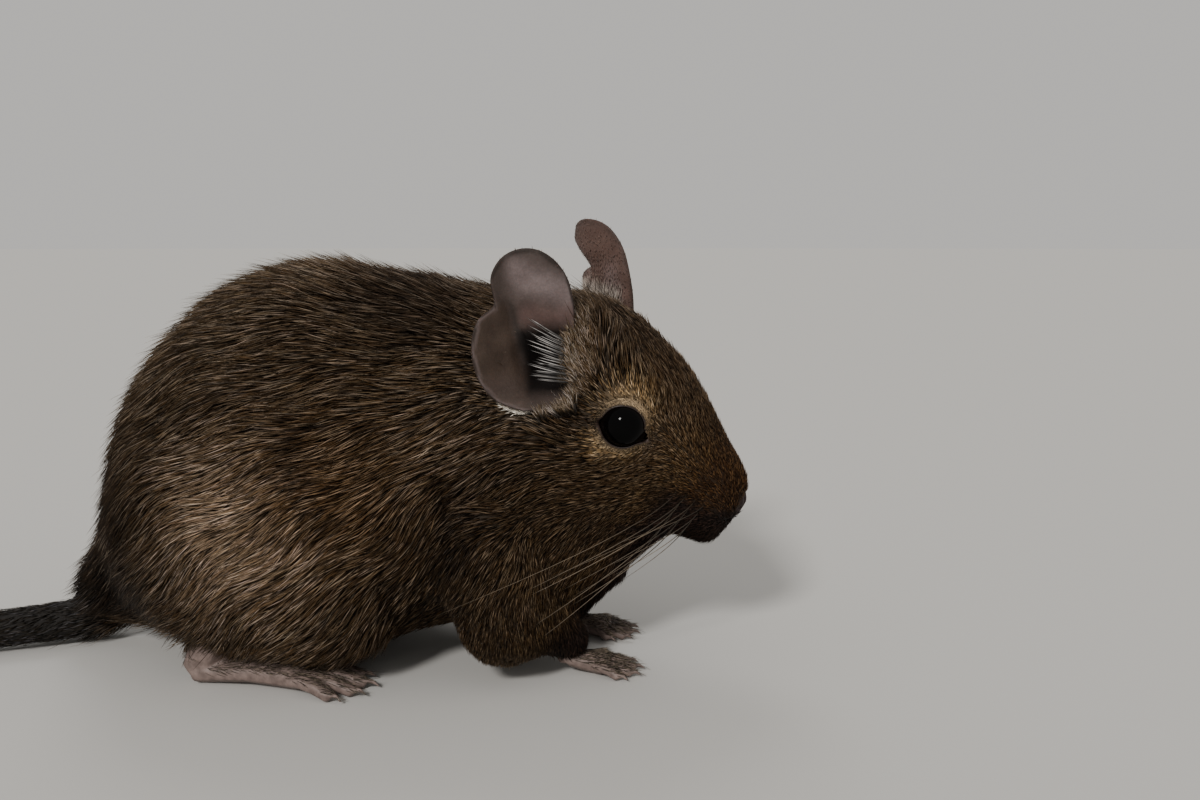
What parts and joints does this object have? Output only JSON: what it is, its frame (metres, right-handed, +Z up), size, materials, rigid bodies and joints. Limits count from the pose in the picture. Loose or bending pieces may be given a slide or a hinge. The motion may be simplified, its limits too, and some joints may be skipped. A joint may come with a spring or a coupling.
{
  "type": "degu",
  "caption": "Life-size still model of a degu, crouched on all fours with its head lowered, ears raised and its brush-tipped tail laid out behind on the floor.",
  "frame": {"origin": "on the floor under the middle of the bounding box", "axes": "+X from the tail to the nose, +Y to the animal's left, +Z up"},
  "size_m": [0.2186, 0.0568, 0.0757],
  "materials": {
    "coat": "short dense agouti fur, dark brown with tan tips",
    "ear_skin": "thin bare grey-brown skin",
    "eye": "wet gloss black",
    "foot_skin": "grey-pink skin with dark claws and sparse pale hair",
    "tail_coat": "short stiff black hair that ends in a brush"
  },
  "bodies": {
    "root": {"torso": "coat", "neck": "coat", "head": "coat", "eye_right": "eye", "ear_right": "ear_skin", "haunch_right": "coat", "hindfoot_right": "foot_skin", "foreleg_right": "coat", "forefoot_right": "foot_skin", "eye_left": "eye", "ear_left": "ear_skin", "haunch_left": "coat", "hindfoot_left": "foot_skin", "foreleg_left": "coat", "forefoot_left": "foot_skin", "tail_base": "tail_coat", "tail_middle": "tail_coat", "tail_tip": "tail_coat"}
  },
  "joints": []
}
